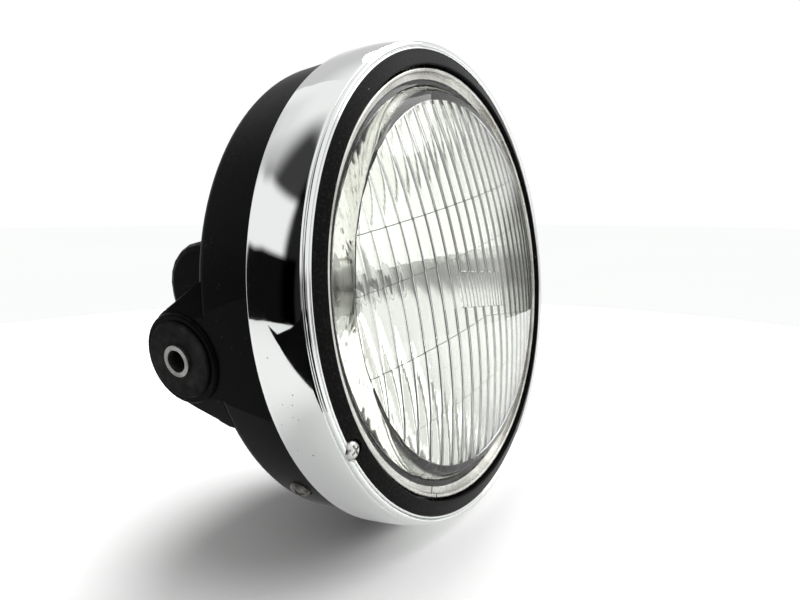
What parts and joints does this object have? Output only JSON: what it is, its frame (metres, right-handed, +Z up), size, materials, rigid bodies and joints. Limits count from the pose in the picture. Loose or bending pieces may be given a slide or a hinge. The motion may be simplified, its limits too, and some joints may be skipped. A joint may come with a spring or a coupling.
{
  "type": "motorcycle headlight",
  "caption": "Round motorcycle headlight: chromed rim with a fluted glass lens on a black moulded bucket with bushed mounting ears; the lamp unit tilts sideways by an adjusting screw.",
  "frame": {"origin": "centre of the overall box: on the beam axis, halfway between the front of the lens and the rear grommet", "axes": "+Z up, -Y forwards along the beam, +X to the rider's left, along the line of the two mounting bolts"},
  "size_m": [0.2024, 0.1224, 0.2024],
  "materials": {
    "bucket_plastic": "satin black moulding",
    "rim_chrome": "polished chrome with a black painted inner band",
    "plated_steel": "zinc plated",
    "dull_steel": "dull plated sheet",
    "screw_steel": "bright plated",
    "spring_steel": "plain",
    "nut_nylon": "natural",
    "lens_glass": "clear, fluted inside",
    "seal_rubber": "cream",
    "reflector_metal": "aluminised",
    "bulb_metal": "plain",
    "bulb_glass": "clear",
    "tungsten": "matt",
    "black_rubber": "matt black",
    "sleeve_steel": "bright, slightly worn"
  },
  "bodies": {
    "housing": {"bucket": "bucket_plastic", "rim": "rim_chrome", "rim_catch": "plated_steel", "rim_lugs": "plated_steel", "rim_nuts": "plated_steel", "rim_screws": "screw_steel", "pivot_brackets": "plated_steel", "pivot_pins": "screw_steel", "adjusting_spring": "spring_steel", "right_bush": "black_rubber", "left_bush": "black_rubber", "right_sleeve": "sleeve_steel", "left_sleeve": "sleeve_steel", "wiring_grommet": "black_rubber"},
    "lamp_unit": {"retaining_ring": "dull_steel", "mounting_ring": "plated_steel", "ring_screws": "screw_steel", "lens": "lens_glass", "lens_seal": "seal_rubber", "reflector": "reflector_metal", "bulb_cap": "bulb_metal", "bulb_envelope": "bulb_glass", "bulb_filaments": "tungsten", "bulb_clip": "spring_steel", "bulb_boot": "black_rubber", "adjusting_nut": "nut_nylon"},
    "adjuster": {"adjusting_screw": "screw_steel"}
  },
  "joints": [
    {"name": "sideways_aim", "type": "hinge", "parent": "housing", "child": "lamp_unit", "pos_m": [0, -0.03634, 0], "axis": [0, 0, 1], "range_deg": [-2.5, 2.5], "deforming": ["adjusting_spring"]},
    {"name": "screw_turn", "type": "hinge", "parent": "housing", "child": "adjuster", "pos_m": [-0.08939, -0.0373, -0.0336], "axis": [0, 1, 0], "range_deg": [-2020, 2020]}
  ],
  "couplings": [
    {"joint": "screw_turn", "follows": "sideways_aim", "ratio": 802.4}
  ]
}
